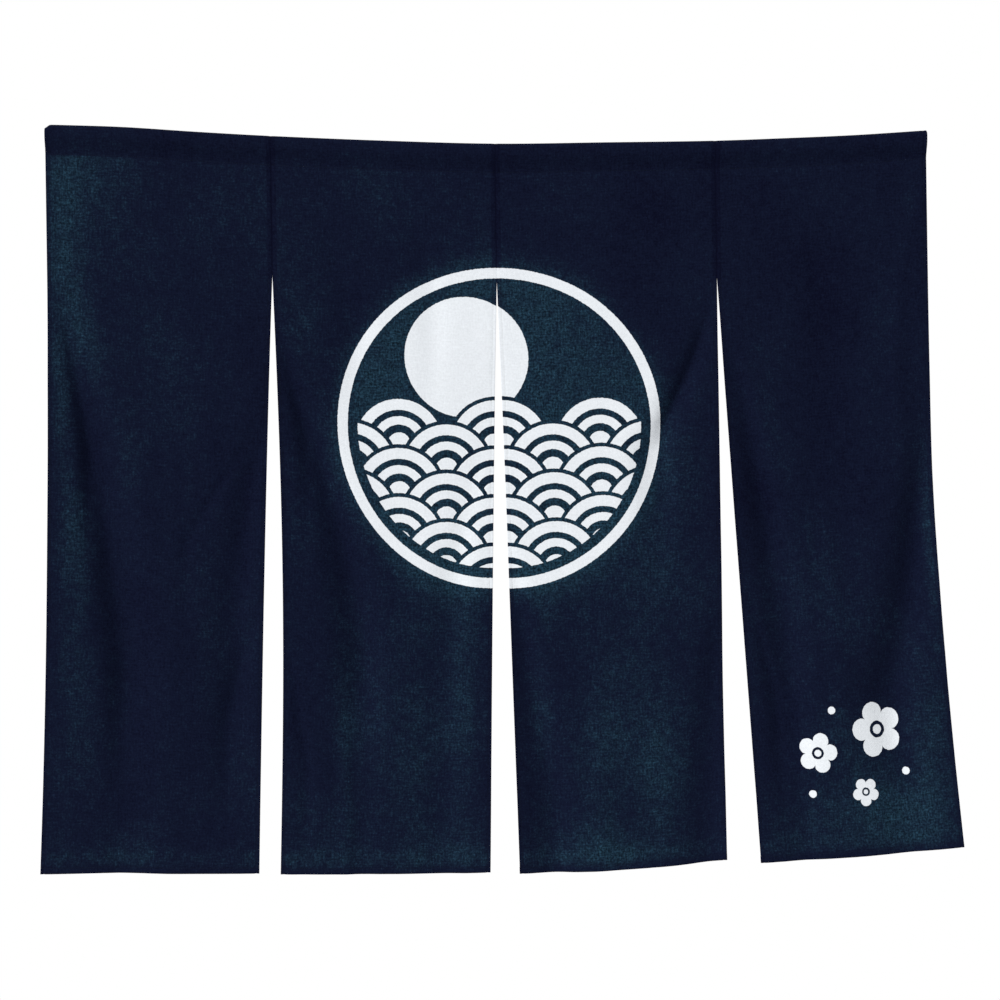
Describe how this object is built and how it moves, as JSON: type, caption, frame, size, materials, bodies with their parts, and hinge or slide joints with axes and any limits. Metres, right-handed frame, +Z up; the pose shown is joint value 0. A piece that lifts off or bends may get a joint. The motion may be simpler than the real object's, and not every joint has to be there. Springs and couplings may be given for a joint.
{
  "type": "noren curtain",
  "caption": "Split doorway curtain of indigo cotton panels, seamed at the top and free below, with a sewn pocket for a slender rod.",
  "frame": {"origin": "on the crest of the top fold, at the middle seam", "axes": "+X along the curtain's width, to the right of someone who faces it; +Y from the front to the back; +Z up"},
  "size_m": [1.5127, 0.0368, 1.2188],
  "materials": {
    "indigo_cotton": "matt plain weave, resist-dyed"
  },
  "bodies": {
    "root": {"panel_outer_left": "indigo_cotton", "panel_inner_left": "indigo_cotton", "panel_inner_right": "indigo_cotton", "panel_outer_right": "indigo_cotton"}
  },
  "joints": []
}
